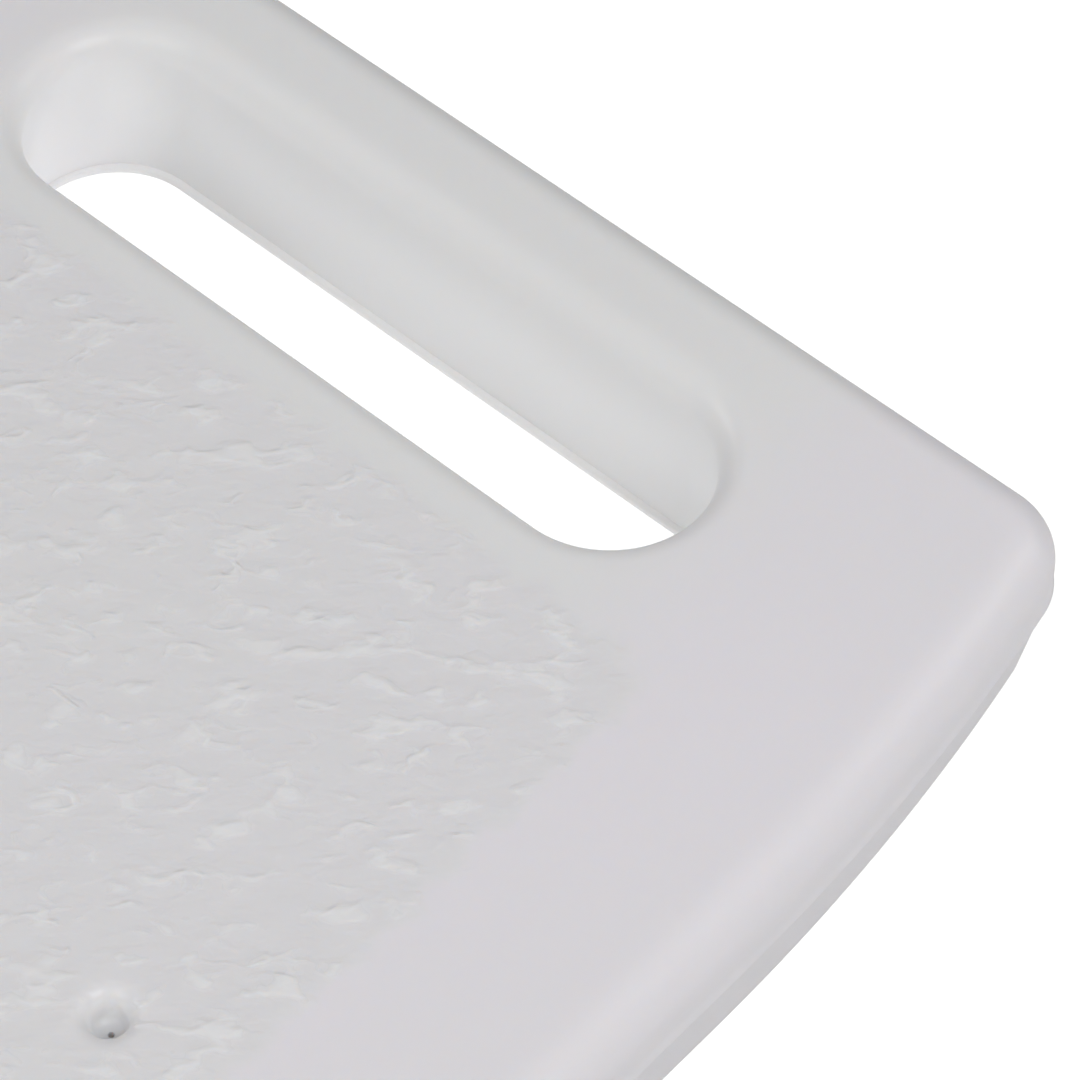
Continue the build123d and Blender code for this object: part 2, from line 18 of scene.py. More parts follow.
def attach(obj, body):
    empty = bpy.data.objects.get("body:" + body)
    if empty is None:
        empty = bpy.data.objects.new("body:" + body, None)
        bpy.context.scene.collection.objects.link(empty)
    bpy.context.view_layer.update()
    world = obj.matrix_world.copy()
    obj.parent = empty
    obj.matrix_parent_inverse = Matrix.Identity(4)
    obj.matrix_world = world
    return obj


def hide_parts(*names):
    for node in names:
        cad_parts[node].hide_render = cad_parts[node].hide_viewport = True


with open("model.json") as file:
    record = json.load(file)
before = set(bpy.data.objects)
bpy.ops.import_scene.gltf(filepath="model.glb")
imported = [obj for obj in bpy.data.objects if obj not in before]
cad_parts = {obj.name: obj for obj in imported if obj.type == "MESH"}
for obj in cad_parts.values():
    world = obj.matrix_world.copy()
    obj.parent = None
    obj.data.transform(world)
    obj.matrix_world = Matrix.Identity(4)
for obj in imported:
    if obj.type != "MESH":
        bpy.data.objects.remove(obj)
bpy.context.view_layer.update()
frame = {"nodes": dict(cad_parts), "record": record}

MM = 0.001
X_AXIS = Vector((1.0, 0.0, 0.0))
Y_AXIS = Vector((0.0, 1.0, 0.0))
UP = Vector((0.0, 0.0, 1.0))
MERGE_DISTANCE = 0.01 * MM
LEVEL_TOLERANCE = 0.01 * MM
SHARP_ANGLE = 50.0
LOG = logging.getLogger("stool")
Node, Socket, Tree = bpy.types.Node, bpy.types.NodeSocket, bpy.types.NodeTree
Colour = tuple[float, float, float]
Steps = tuple[tuple[float, float], ...]


# ---------------- drawing and sweeping profiles


class Sweep:
    """A profile drawn point by point with bmesh operators, then carried along a path."""

    def __init__(self, start: Vector) -> None:
        """Puts down the profile's first point.

        Args:
            start: Where the profile begins.
        """
        self.mesh = bmesh.new()
        self.tip = bmesh.ops.create_vert(self.mesh, co=start)["vert"][0]
        self.front: list = [self.tip]

    def line(self, dx: float, dz: float, along: Vector, parts: int = 1) -> "Sweep":
        """Draws a straight piece of the profile.

        Args:
            dx: How far the piece goes along the profile's level direction.
            dz: How far it goes up.
            along: The profile's level direction.
            parts: How many edges it has.

        Returns:
            The sweep itself.
        """
        shift = (along * dx + UP * dz) / parts
        return self._draw(dvec=shift, angle=0.0, centre=Vector(), axis=UP, parts=parts)

    def steps(self, steps: Steps, along: Vector) -> "Sweep":
        """Draws a row of short straight pieces.

        Args:
            steps: How far each piece goes along the level direction and up, in millimetres.
            along: The profile's level direction.

        Returns:
            The sweep itself.
        """
        for dx, dz in steps:
            self.line(dx * MM, dz * MM, along)
        return self

    def arc(self, centre: Vector, axis: Vector, degrees: float, parts: int) -> "Sweep":
        """Draws a round piece of the profile.

        Args:
            centre: The arc's centre.
            axis: The axis that the arc turns about.
            degrees: How far it turns.
            parts: How many edges it has.

        Returns:
            The sweep itself.
        """
        angle = math.radians(degrees)
        return self._draw(dvec=Vector(), angle=angle, centre=centre, axis=axis, parts=parts)

    def _draw(
        self, dvec: Vector, angle: float, centre: Vector, axis: Vector, parts: int
    ) -> "Sweep":
        """Extends the profile from its tip.

        Args:
            dvec: The shift of each part.
            angle: The whole turn, in radians.
            centre: The centre of the turn.
            axis: The axis of the turn.
            parts: The number of edges.

        Returns:
            The sweep itself.
        """
        spun = bmesh.ops.spin(
            self.mesh, geom=[self.tip], cent=centre, axis=axis, dvec=dvec, angle=angle, steps=parts
        )
        self.tip = next(g for g in spun["geom_last"] if isinstance(g, bmesh.types.BMVert))
        return self

    def take(self) -> "Sweep":
        """Takes the profile drawn so far as the one to carry."""
        self.front = list(self.mesh.edges) + list(self.mesh.verts)
        return self

    def give(self, target: bmesh.types.BMesh) -> None:
        """Adds the finished surface to a larger mesh.

        Args:
            target: The mesh that receives it.
        """
        bmesh.ops.remove_doubles(self.mesh, verts=self.mesh.verts, dist=MERGE_DISTANCE)
        data = bpy.data.meshes.new("part")
        self.mesh.to_mesh(data)
        self.mesh.free()
        target.from_mesh(data)
        bpy.data.meshes.remove(data)

    def push(self, step: Vector, parts: int = 1) -> "Sweep":
        """Carries the profile straight on.

        Args:
            step: How far, and which way.
            parts: How many rows of faces it leaves.

        Returns:
            The sweep itself.
        """
        return self._carry(dvec=step / parts, angle=0.0, centre=Vector(), parts=parts)

    def turn(self, centre: Vector, degrees: float, parts: int) -> "Sweep":
        """Carries the profile round an upright axis.

        Args:
            centre: A point on the axis.
            degrees: How far it turns.
            parts: How many rows of faces it leaves.

        Returns:
            The sweep itself.
        """
        return self._carry(dvec=Vector(), angle=math.radians(degrees), centre=centre, parts=parts)

    def _carry(self, dvec: Vector, angle: float, centre: Vector, parts: int) -> "Sweep":
        """Extrudes the front of the sweep in equal parts.

        Args:
            dvec: The shift of each part.
            angle: The whole turn, in radians.
            centre: A point on the upright axis of the turn.
            parts: The number of rows of faces.

        Returns:
            The sweep itself.
        """
        spun = bmesh.ops.spin(
            self.mesh, geom=self.front, cent=centre, axis=UP, dvec=dvec, angle=angle, steps=parts
        )
        self.front = spun["geom_last"]
        return self


def obround(
    sweep: Sweep, centre: Vector, half_straight: float, along: Vector, straight: int, round_: int
) -> None:
    """Carries a profile once round an obround path and closes it.

    Args:
        sweep: The sweep, whose profile stands beside the middle of one straight side.
        centre: The middle of the obround.
        half_straight: Half the length of a straight side.
        along: The direction in which that side is first followed.
        straight: The number of face rows on half a straight side.
        round_: The number of face rows round an end.
    """
    half = along * half_straight
    sweep.push(half, straight).turn(centre + half, 180.0, round_)
    sweep.push(-2.0 * half, 2 * straight).turn(centre - half, 180.0, round_)
    sweep.push(half, straight)


# ---------------- seat


@dataclass
class SeatShell:
    """The moulded seat: a slab with two hand-hold slots, drains and a drawn-in lower half."""

    length: float = 500.0 * MM
    end_half_depth: float = 120.0 * MM
    corner_radius: float = 13.3 * MM
    side_radius: float = 434.5 * MM
    side_angle: float = 11.03
    top: float = 400.0 * MM
    thickness: float = 33.9 * MM
    top_fillet: float = 7.8 * MM
    ease: float = 1.2 * MM
    parting_depth: float = 13.5 * MM
    parting_rise: float = 0.45 * MM
    parting_bead: Steps = ((0.25, -0.25), (0.0, -0.2), (-0.25, -0.2))
    parting_step: float = 0.5 * MM
    parting_lip: float = 0.1 * MM
    lower_upright: float = 0.3 * MM
    lower_start: float = 0.6 * MM
    lower_inset: float = 4.3 * MM
    foot_fillet: float = 2.4 * MM
    slot_x: float = 210.8 * MM
    slot_half_width: float = 17.0 * MM
    slot_half_straight: float = 53.9 * MM
    slot_fillet: float = 5.9 * MM
    slot_lean: float = 3.5 * MM
    slot_foot_half_width: float = 17.5 * MM
    slot_foot_half_straight: float = 57.9 * MM
    lip_height: float = 2.6 * MM
    lip_crest: Steps = ((0.12, -0.35), (0.05, -0.25), (-0.25, -0.2), (-0.3, -0.15), (-0.12, -0.25))
    lip_toe: Steps = ((0.15, -0.20), (0.35, -0.10), (2.0, 0.0))
    lip_toe_height: float = 1.5 * MM
    drain_x: tuple[float, ...] = (-84.0 * MM, 0.0, 84.0 * MM)
    drain_y: tuple[float, ...] = (-69.0 * MM, 69.0 * MM)
    drain_radius: float = 2.9 * MM
    drain_fillet: float = 3.2 * MM
    drain_wall: float = 0.9 * MM
    drain_bowl_fillet: float = 1.7 * MM
    drain_neck: float = 0.5 * MM
    drain_neck_depth: float = 2.5 * MM
    drain_flat: float = 0.8 * MM
    drain_foot_fillet: float = 0.6 * MM
    groove_y: tuple[float, ...] = (-36.0 * MM, 0.0, 36.0 * MM)
    groove_half_straight: float = 69.0 * MM
    groove_half_width: float = 6.0 * MM
    groove_depth: float = 9.0 * MM
    groove_fillet: float = 1.6 * MM
    groove_flat: float = 0.8 * MM
    vent_radius: float = 3.0 * MM
    vent_y: float = -95.0 * MM
    vent_depth: float = 5.0 * MM
    vent_chamfer: Steps = ((-0.5, 0.3),)
    grid_step: float = 2.0 * MM
    panel_half_length: float = 183.5 * MM
    panel_half_depth: float = 90.0 * MM
    undulation: float = 0.02 * MM
    undulation_scale: float = 110.0
    undulation_fade: float = 6.0 * MM
    rim_fade: float = 4.0 * MM
    clearance: float = 1.3
    mesh: bmesh.types.BMesh = field(default_factory=bmesh.new)

    @property
    def bottom(self) -> float:
        """Height of the seat's underside."""
        return self.top - self.thickness

    def build(self) -> bpy.types.Object:
        """Makes the seat.

        Returns:
            The finished object, which stands for the CAD seat.
        """
        self._rim()
        for side in (-1.0, 1.0):
            self._slot(side)
        for x in self.drain_x:
            for y in self.drain_y:
                self._drain(Vector((x, y, 0.0)))
        for y in self.groove_y:
            self._groove(y)
        self._vent()
        self._close_pockets()
        self._close_underside()
        self._close_top()
        self._undulate()
        bmesh.ops.recalc_face_normals(self.mesh, faces=self.mesh.faces)
        return finish_piece(self.mesh, "seat_shell", "root", ("seat",))

    def _rim(self) -> None:
        """Draws the outer edge's profile and carries it round the seat's plan."""
        x, top, r = self.length / 2.0, self.top, self.top_fillet
        sweep = Sweep(Vector((x - r - self.ease, 0.0, top)))
        sweep.line(self.ease, 0.0, X_AXIS)
        sweep.arc(Vector((x - r, 0.0, top - r)), Y_AXIS, 90.0, 16)
        parting = self.top - self.parting_depth
        sweep.line(0.0, parting + self.parting_rise - (top - r), X_AXIS, 2)
        sweep.steps(self.parting_bead, X_AXIS)
        sweep.line(-self.parting_step, -self.parting_lip, X_AXIS)
        height = parting - self.lower_start - self.bottom
        slope = (self.lower_inset - self.parting_step) / height
        lean = math.atan(slope)
        reach = self.foot_fillet * math.tan(math.radians(45.0) - lean / 2.0)
        drop = height - reach * math.cos(lean)
        sweep.line(0.0, -self.lower_upright, X_AXIS)
        sweep.line(-drop * slope, -drop, X_AXIS, 4)
        tip = sweep.tip.co
        inward = Vector((-math.cos(lean), 0.0, math.sin(lean)))
        sweep.arc(tip + inward * self.foot_fillet, Y_AXIS, 90.0 - math.degrees(lean), 6)
        sweep.line(-self.ease, 0.0, X_AXIS)
        self._carry_round(sweep.take())
        sweep.give(self.mesh)

    def _carry_round(self, sweep: Sweep) -> None:
        """Carries a profile round the whole plan.

        Args:
            sweep: The sweep, whose profile stands at the middle of the right-hand end.
        """
        angle = math.radians(self.side_angle)
        corner_y = self.end_half_depth - self.corner_radius
        corner = Vector((self.length / 2.0 - self.corner_radius, corner_y, 0.0))
        reach = self.side_radius - self.corner_radius
        side = corner - Vector((math.sin(angle), math.cos(angle), 0.0)) * reach
        round_corner, round_side = 90.0 - self.side_angle, self.side_angle
        up = Vector((0.0, corner.y, 0.0))
        flip = Vector((-1.0, 1.0, 1.0))
        sweep.push(up, 6).turn(corner, round_corner, 26).turn(side, round_side, 22)
        sweep.push(Vector((-2.0 * side.x, 0.0, 0.0)), 12)
        sweep.turn(side * flip, round_side, 22).turn(corner * flip, round_corner, 26)
        sweep.push(-2.0 * up, 12)
        sweep.turn(-corner, round_corner, 26).turn(-side, round_side, 22)
        sweep.push(Vector((2.0 * side.x, 0.0, 0.0)), 12)
        sweep.turn(side * -flip, round_side, 22).turn(corner * -flip, round_corner, 26)
        sweep.push(up, 6)

    def _slot(self, side: float) -> None:
        """Makes the wall of one hand-hold slot, with the pinched lip at its foot.

        Args:
            side: -1 for the left end and 1 for the right end.
        """
        centre = Vector((side * self.slot_x, 0.0, 0.0))
        r, top = self.slot_fillet, self.top
        edge = centre.x + self.slot_half_width
        sweep = Sweep(Vector((edge + r + self.ease, 0.0, top)))
        sweep.line(-self.ease, 0.0, X_AXIS)
        sweep.arc(Vector((edge + r, 0.0, top - r)), Y_AXIS, -90.0, 14)
        sweep.line(0.0, self.bottom + self.lip_height - (top - r), X_AXIS, 6)
        sweep.steps(self.lip_crest, X_AXIS)
        sweep.line(0.0, self.lip_toe_height - self.lip_height, X_AXIS)
        sweep.steps(self.lip_toe, X_AXIS)
        sweep.take()
        obround(sweep, centre, self.slot_half_straight, Y_AXIS, 8, 44)
        self._lean_slot(sweep.mesh.verts, centre, side)
        sweep.give(self.mesh)

    def _lean_slot(self, verts: Sequence[bmesh.types.BMVert], centre: Vector, side: float) -> None:
        """Leans a slot's walls towards the seat's middle and lets them open out downwards.

        Args:
            verts: The vertices of the slot's walls.
            centre: The middle of the slot's mouth.
            side: -1 for the left end and 1 for the right end.
        """
        widen = self.slot_foot_half_width / self.slot_half_width - 1.0
        lengthen = self.slot_foot_half_straight - self.slot_half_straight
        for vert in verts:
            depth = (self.top - vert.co.z) / self.thickness
            vert.co.x += depth * (widen * (vert.co.x - centre.x) - side * self.slot_lean)
            share = max(-1.0, min(1.0, vert.co.y / self.slot_half_straight))
            vert.co.y += depth * lengthen * share

    def _drain(self, centre: Vector) -> None:
        """Makes one funnel-shaped drain through the seat.

        Args:
            centre: Where the drain's axis meets the floor plane.
        """
        r, top, bowl, neck = self.drain_fillet, self.top, self.drain_bowl_fillet, self.drain_neck
        edge = centre.x + self.drain_radius
        depth, foot = self.drain_neck_depth, self.drain_foot_fillet
        sweep = Sweep(Vector((edge + r + self.drain_flat, centre.y, top)))
        sweep.line(-self.drain_flat, 0.0, X_AXIS)
        sweep.arc(Vector((edge + r, centre.y, top - r)), Y_AXIS, -90.0, 12)
        sweep.line(0.0, -self.drain_wall, X_AXIS)
        floor = top - r - self.drain_wall
        sweep.arc(Vector((edge - bowl, centre.y, floor)), Y_AXIS, 90.0, 6)
        sweep.line(neck + bowl - self.drain_radius, 0.0, X_AXIS)
        sweep.line(0.0, -depth, X_AXIS)
        sweep.line(self.drain_radius - neck, -depth, X_AXIS, 2)
        sweep.line(0.0, self.bottom + foot - (floor - bowl - 2.0 * depth), X_AXIS, 2)
        sweep.arc(Vector((edge + foot, centre.y, self.bottom + foot)), Y_AXIS, -90.0, 3)
        sweep.line(self.drain_flat, 0.0, X_AXIS)
        sweep.take().turn(centre, 360.0, 40).give(self.mesh)

    def _groove(self, y: float) -> None:
        """Makes one stiffening groove in the underside.

        Args:
            y: Where the groove lies along the seat's depth.
        """
        r, out = self.groove_fillet, -Y_AXIS
        edge = y - self.groove_half_width
        sweep = Sweep(Vector((0.0, edge - r - self.groove_flat, self.bottom)))
        sweep.line(-self.groove_flat, 0.0, out)
        sweep.arc(Vector((0.0, edge - r, self.bottom + r)), X_AXIS, 90.0, 4)
        sweep.line(0.0, self.groove_depth - 2.0 * r, out, 2)
        sweep.arc(Vector((0.0, edge + r, self.bottom + self.groove_depth - r)), X_AXIS, -90.0, 4)
        sweep.take()
        obround(sweep, Vector((0.0, y, 0.0)), self.groove_half_straight, X_AXIS, 6, 20)
        sweep.give(self.mesh)

    def _vent(self) -> None:
        """Makes the small vent in the underside."""
        centre = Vector((0.0, self.vent_y, 0.0))
        sweep = Sweep(Vector((self.vent_radius + 0.5 * MM, self.vent_y, self.bottom)))
        sweep.steps(self.vent_chamfer, X_AXIS).line(0.0, self.vent_depth, X_AXIS)
        sweep.take().turn(centre, 360.0, 24).give(self.mesh)

    def _open_edges(self, low: float, high: float) -> list[bmesh.types.BMEdge]:
        """Finds open edges in a band of heights.

        Args:
            low: The lowest height.
            high: The highest height.

        Returns:
            The open edges whose two ends lie in the band.
        """
        edges = [e for e in self.mesh.edges if e.is_boundary]
        return [e for e in edges if all(low <= v.co.z <= high for v in e.verts)]

    def _close_pockets(self) -> None:
        """Closes the roots of the grooves and of the vent."""
        edges = self._open_edges(self.bottom + MM, self.bottom + 12.0 * MM)
        bmesh.ops.holes_fill(self.mesh, edges=edges, sides=0)

    def _close_underside(self) -> None:
        """Closes the underside between its rim, slots, drains, grooves and vent."""
        self._fill(self._open_edges(self.bottom - LEVEL_TOLERANCE, self.bottom + LEVEL_TOLERANCE))

    def _close_top(self) -> None:
        """Closes the top: an even grid in the middle, joined to every rim by a flat band."""
        across = 2 * round(self.length / 2.0 / self.grid_step)
        deep = 2 * round(self.end_half_depth * 1.05 / self.grid_step)
        scale = (across * self.grid_step / 2.0, deep * self.grid_step / 2.0, 1.0, 1.0)
        place = Matrix.Translation((0.0, 0.0, self.top)) @ Matrix.Diagonal(scale)
        grid = bmesh.ops.create_grid(
            self.mesh, x_segments=across, y_segments=deep, size=1.0, matrix=place
        )
        outside = [v for v in grid["verts"] if self._room(v.co) < self.clearance * self.grid_step]
        bmesh.ops.delete(self.mesh, geom=outside, context="VERTS")
        loose = [v for v in self.mesh.verts if not v.link_faces]
        bmesh.ops.delete(self.mesh, geom=loose, context="VERTS")
        self._fill(self._open_edges(self.top - LEVEL_TOLERANCE, self.top + LEVEL_TOLERANCE))

    def _fill(self, edges: list[bmesh.types.BMEdge]) -> None:
        """Fills a level plane between its loops, but leaves the mouths of its openings open.

        Args:
            edges: The loops' edges.
        """
        filled = bmesh.ops.triangle_fill(
            self.mesh, use_beauty=True, use_dissolve=False, edges=edges, normal=UP
        )
        faces = [g for g in filled["geom"] if isinstance(g, bmesh.types.BMFace)]
        extra = [f for f in faces if self._in_mouth(f.calc_center_median())]
        bmesh.ops.delete(self.mesh, geom=extra, context="FACES")

    def _in_mouth(self, point: Vector) -> bool:
        """Tells whether a point of the top or underside lies over a slot, drain, groove or vent.

        Args:
            point: The point.

        Returns:
            True where there is no skin.
        """
        x, y, low = abs(point.x), abs(point.y), point.z < self.top - self.thickness / 2.0
        lean = self.slot_lean if low else 0.0
        straight = self.slot_foot_half_straight if low else self.slot_half_straight
        slot = math.hypot(x - self.slot_x + lean, max(0.0, y - straight)) < self.slot_half_width
        beside = y - max(self.drain_y)
        drain = any(math.hypot(x - abs(dx), beside) < self.drain_radius for dx in self.drain_x)
        reach, width = max(0.0, x - self.groove_half_straight), self.groove_half_width
        groove = any(math.hypot(reach, point.y - gy) < width for gy in self.groove_y)
        vent = math.hypot(x, point.y - self.vent_y) < self.vent_radius
        return slot or drain or (low and (groove or vent))

    def _room(self, point: Vector) -> float:
        """Measures how far a point of the top lies from the nearest rounded rim.

        Args:
            point: The point.

        Returns:
            The distance to the nearest rim's flat band, negative inside it.
        """
        x, y = abs(point.x), abs(point.y)
        band = self.top_fillet + self.ease
        angle = math.radians(self.side_angle)
        corner_x = self.length / 2.0 - self.corner_radius
        corner_y = self.end_half_depth - self.corner_radius
        side_x = corner_x - math.sin(angle) * (self.side_radius - self.corner_radius)
        side_y = corner_y - math.cos(angle) * (self.side_radius - self.corner_radius)
        from_end = self.length / 2.0 - x
        from_side = self.side_radius - math.hypot(max(0.0, x - side_x), y - side_y)
        room = min(from_end, from_side) - band
        reach = max(0.0, y - self.slot_half_straight)
        slot = math.hypot(x - self.slot_x, reach)
        slot = slot - self.slot_half_width - self.slot_fillet - self.ease
        drain = min(math.hypot(point.x - dx, y - max(self.drain_y)) for dx in self.drain_x)
        drain = drain - self.drain_radius - self.drain_fillet - self.drain_flat
        return min(room, slot, drain)

    def _undulate(self) -> None:
        """Gives the textured panel the slight unevenness of a blown skin."""
        for vert in self.mesh.verts:
            if vert.co.z < self.top - LEVEL_TOLERANCE:
                continue
            inside_x = self.panel_half_length - abs(vert.co.x)
            inside = min(inside_x, self.panel_half_depth - abs(vert.co.y))
            amount = max(0.0, min(1.0, inside / self.undulation_fade))
            amount = amount * max(0.0, min(1.0, self._room(vert.co) / self.rim_fade))
            if amount > 0.0:
                wave = noise.fractal(vert.co * self.undulation_scale, 0.7, 2.0, 2)
                vert.co.z += amount * self.undulation * wave


def finish_piece(
    mesh: bmesh.types.BMesh, name: str, body: str, stands_for: tuple[str, ...]
) -> bpy.types.Object:
    """Turns a bmesh into a smooth-shaded piece that rides on a body.

    Args:
        mesh: The finished bmesh, which is freed.
        name: The piece's name.
        body: The body that it rides on.
        stands_for: The CAD nodes that it replaces.

    Returns:
        The new object.
    """
    data = bpy.data.meshes.new(name)
    mesh.to_mesh(data)
    mesh.free()
    piece = bpy.data.objects.new(name, data)
    bpy.context.scene.collection.objects.link(piece)
    data.shade_smooth()
    data.set_sharp_from_angle(angle=math.radians(SHARP_ANGLE))
    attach(piece, body)
    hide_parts(*stands_for)
    LOG.info("%s: %d faces", name, len(data.polygons))
    return piece


# ---------------- shader trees


class Graph:
    """A shader tree that grows node by node."""

    def __init__(self, tree: Tree) -> None:
        """Keeps the tree that the nodes go into."""
        self.tree = tree

    def add(self, kind: str, inputs: dict, **settings: object) -> Node:
        """Adds a node, and sets or links its inputs.

        Args:
            kind: The node's type.
            inputs: A value or a socket for each input, by name or number.
            settings: The node's own settings.

        Returns:
            The new node.
        """
        node = self.tree.nodes.new(kind)
        for key, value in settings.items():
            setattr(node, key, value)
        for key, value in inputs.items():
            if isinstance(value, Socket):
                self.tree.links.new(value, node.inputs[key])
            else:
                node.inputs[key].default_value = value
        return node

    def math(self, operation: str, *values: object) -> Socket:
        """Adds a sum on one or more values."""
        return self.add("ShaderNodeMath", dict(enumerate(values)), operation=operation).outputs[0]

    def vector(self, operation: str, *values: object) -> Node:
        """Adds a sum on one or more vectors."""
        return self.add("ShaderNodeVectorMath", dict(enumerate(values)), operation=operation)

    def noise(
        self, vector: object, scale: float, detail: float = 2.0, rough: float = 0.5
    ) -> Node:
        """Adds a noise texture."""
        inputs = {"Vector": vector, "Scale": scale, "Detail": detail, "Roughness": rough}
        return self.add("ShaderNodeTexNoise", inputs)

    def cloud(self, vector: object, scale: float, detail: float = 2.0) -> Socket:
        """Adds a noise texture and gives its value."""
        return self.noise(vector, scale, detail).outputs[0]

    def span(
        self, value: object, ends: Sequence[float], out: Sequence[float] = (0.0, 1.0)
    ) -> Socket:
        """Maps a value smoothly from one span to another.

        Args:
            value: The value.
            ends: Where the span starts and ends.
            out: What its ends become.

        Returns:
            The mapped value.
        """
        inputs = {"Value": value, "From Min": ends[0], "From Max": ends[1]}
        inputs.update({"To Min": out[0], "To Max": out[1]})
        node = self.add("ShaderNodeMapRange", inputs, interpolation_type="SMOOTHSTEP")
        return node.outputs["Result"]

    def blend(self, share: object, first: object, second: object) -> Socket:
        """Blends two colours, each a fixed colour or another node's output."""
        inputs = {"Factor": share, 6: rgba(first), 7: rgba(second)}
        return self.add("ShaderNodeMix", inputs, data_type="RGBA").outputs[2]

    def dot(self, vector: object, direction: Sequence[float]) -> Socket:
        """Measures how far a vector reaches in a direction."""
        return self.vector("DOT_PRODUCT", vector, direction).outputs["Value"]

    def link(self, source: Socket, target: Socket) -> None:
        """Links one socket to another."""
        self.tree.links.new(source, target)

    def combine(self, *values: object) -> Socket:
        """Joins three values into a vector."""
        return self.add("ShaderNodeCombineXYZ", dict(enumerate(values))).outputs[0]

    def wander(self, vector: object, scale: float, detail: float) -> Socket:
        """Makes a noise vector that averages to about nothing."""
        colour = self.noise(vector, scale, detail).outputs["Color"]
        return self.vector("SUBTRACT", colour, (0.5, 0.5, 0.5)).outputs[0]

    def place(self) -> Socket:
        """The point's place in the object's own coordinates."""
        return self.add("ShaderNodeTexCoord", {}).outputs["Object"]

    def effect(self, tree: Tree, *values: object) -> Sequence:
        """Places a node group, with its inputs in order.

        Args:
            tree: The group.
            values: A value or a socket for each input.

        Returns:
            The group's outputs.
        """
        return self.add("ShaderNodeGroup", dict(enumerate(values)), node_tree=tree).outputs


def rgba(colour: object) -> object:
    """Gives a colour its fourth number, and leaves a socket as it is."""
    return (*colour, 1.0) if isinstance(colour, tuple) else colour


def find_node(tree: Tree, kind: str) -> Node:
    """Finds a tree's first node of a kind."""
    return next(n for n in tree.nodes if n.bl_idname == kind)


def new_group(
    name: str, inputs: dict[str, float | None], outputs: Sequence[str]
) -> tuple[Graph, dict, dict]:
    """Starts a node group.

    Args:
        name: The group's name.
        inputs: Each input's value, or None where it is a vector.
        outputs: The names of the outputs, all of them single values.

    Returns:
        The group's graph, its inputs' sockets by name, and its output node's sockets by name.
    """
    tree = bpy.data.node_groups.new(name, "ShaderNodeTree")
    for key, value in inputs.items():
        kind = "NodeSocketVector" if value is None else "NodeSocketFloat"
        socket = tree.interface.new_socket(key, in_out="INPUT", socket_type=kind)
        if value is not None:
            socket.default_value = value
    for key in outputs:
        tree.interface.new_socket(key, in_out="OUTPUT", socket_type="NodeSocketFloat")
    graph = Graph(tree)
    source = tree.nodes.new("NodeGroupInput").outputs
    target = tree.nodes.new("NodeGroupOutput").inputs
    return graph, {key: source[key] for key in inputs}, {key: target[key] for key in outputs}


